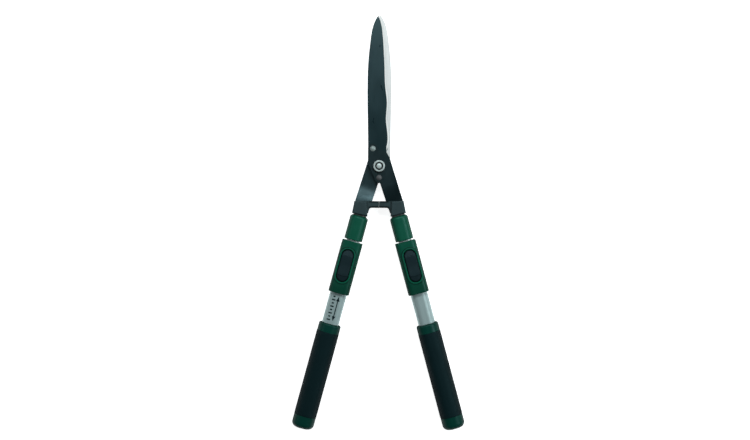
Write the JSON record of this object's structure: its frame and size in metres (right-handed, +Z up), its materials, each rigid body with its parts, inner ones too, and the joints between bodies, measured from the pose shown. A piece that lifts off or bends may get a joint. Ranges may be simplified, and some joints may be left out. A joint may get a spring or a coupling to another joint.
{
  "type": "hedge shears",
  "caption": "Two-handed hedge shears with long wavy-edged blades on a pivot bolt, bumper arms, and telescopic handles with rocker locks and soft grips.",
  "frame": {"origin": "middle of the underside, on the surface that the closed shears lie on", "axes": "+Z up out of the pivot bolt head, +Y towards the blade tips, +X towards the right handle"},
  "size_m": [0.2924, 0.7035, 0.0356],
  "materials": {
    "blade_steel": "dark non-stick coating, ground cutting edge",
    "tang_steel": "black oxide",
    "rivet_steel": "dull zinc",
    "pivot_steel": "satin plated",
    "washer_steel": "black",
    "nylon": "natural nylon",
    "ferrule_metal": "dark grey, cast",
    "buffer_rubber": "matt",
    "tube_aluminium": "satin",
    "black_plastic": "matt moulded",
    "green_plastic": "satin moulded",
    "dark_green_plastic": "satin moulded",
    "grip_rubber": "soft matt"
  },
  "bodies": {
    "left_half": {"rear_blade": "blade_steel", "rear_tang": "tang_steel", "rear_blade_rivets": "rivet_steel", "pivot_bolt": "pivot_steel", "tension_washer": "washer_steel", "rear_washer": "rivet_steel", "lock_nut": "rivet_steel", "lock_nut_insert": "nylon", "left_inner_tube": "tube_aluminium", "left_tang_plug": "black_plastic", "left_tang_rivets": "rivet_steel", "left_tube_collar": "green_plastic", "left_tube_glide": "black_plastic", "left_ferrule": "ferrule_metal"},
    "right_half": {"front_blade": "blade_steel", "front_tang": "tang_steel", "front_blade_rivets": "rivet_steel", "bumper_pad": "buffer_rubber", "right_inner_tube": "tube_aluminium", "right_tang_plug": "black_plastic", "right_tang_rivets": "rivet_steel", "right_tube_collar": "green_plastic", "right_tube_glide": "black_plastic", "right_ferrule": "ferrule_metal"},
    "right_lower_handle": {"right_outer_tube": "tube_aluminium", "right_guide_bush": "black_plastic", "right_lock_housing": "green_plastic", "right_housing_screws": "rivet_steel", "right_lever_pin": "rivet_steel", "right_lock_spring": "rivet_steel", "right_grip_collar": "dark_green_plastic", "right_grip": "grip_rubber", "right_end_cap": "dark_green_plastic"},
    "right_rocker": {"right_lock_lever": "black_plastic"},
    "right_pin": {"right_lock_pin": "rivet_steel"},
    "left_lower_handle": {"left_outer_tube": "tube_aluminium", "left_guide_bush": "black_plastic", "left_lock_housing": "green_plastic", "left_housing_screws": "rivet_steel", "left_lever_pin": "rivet_steel", "left_lock_spring": "rivet_steel", "left_grip_collar": "dark_green_plastic", "left_grip": "grip_rubber", "left_end_cap": "dark_green_plastic"},
    "left_rocker": {"left_lock_lever": "black_plastic"},
    "left_pin": {"left_lock_pin": "rivet_steel"}
  },
  "joints": [
    {"name": "blade_pivot", "type": "hinge", "parent": "left_half", "child": "right_half", "pos_m": [0, 0.0953, 0.017], "axis": [0, 0, 1], "range_deg": [0, 60]},
    {"name": "right_extension", "type": "slide", "parent": "right_half", "child": "right_lower_handle", "axis": [0.2605, -0.9655, 0], "range_m": [0, 0.198]},
    {"name": "right_rocker_tip", "type": "hinge", "parent": "right_lower_handle", "child": "right_rocker", "pos_m": [0.05704, -0.07327, 0.0314], "axis": [0.9655, 0.2605, 0], "range_deg": [0, 5.5], "stiffness_Nm_per_rad": 0.05, "springref_deg": -5.73, "deforming": ["right_lock_spring"]},
    {"name": "right_pin_lift", "type": "slide", "parent": "right_lower_handle", "child": "right_pin", "axis": [0, 0, 1], "range_m": [0, 0.0018]},
    {"name": "left_extension", "type": "slide", "parent": "left_half", "child": "left_lower_handle", "axis": [-0.2605, -0.9655, 0], "range_m": [0, 0.198]},
    {"name": "left_rocker_tip", "type": "hinge", "parent": "left_lower_handle", "child": "left_rocker", "pos_m": [-0.05704, -0.07327, 0.0314], "axis": [0.9655, -0.2605, 0], "range_deg": [0, 5.5], "stiffness_Nm_per_rad": 0.05, "springref_deg": -5.73, "deforming": ["left_lock_spring"]},
    {"name": "left_pin_lift", "type": "slide", "parent": "left_lower_handle", "child": "left_pin", "axis": [0, 0, 1], "range_m": [0, 0.0018]}
  ],
  "couplings": [
    {"joint": "right_pin_lift", "follows": "right_rocker_tip", "m_per_rad": 0.018},
    {"joint": "left_pin_lift", "follows": "left_rocker_tip", "m_per_rad": 0.018}
  ]
}
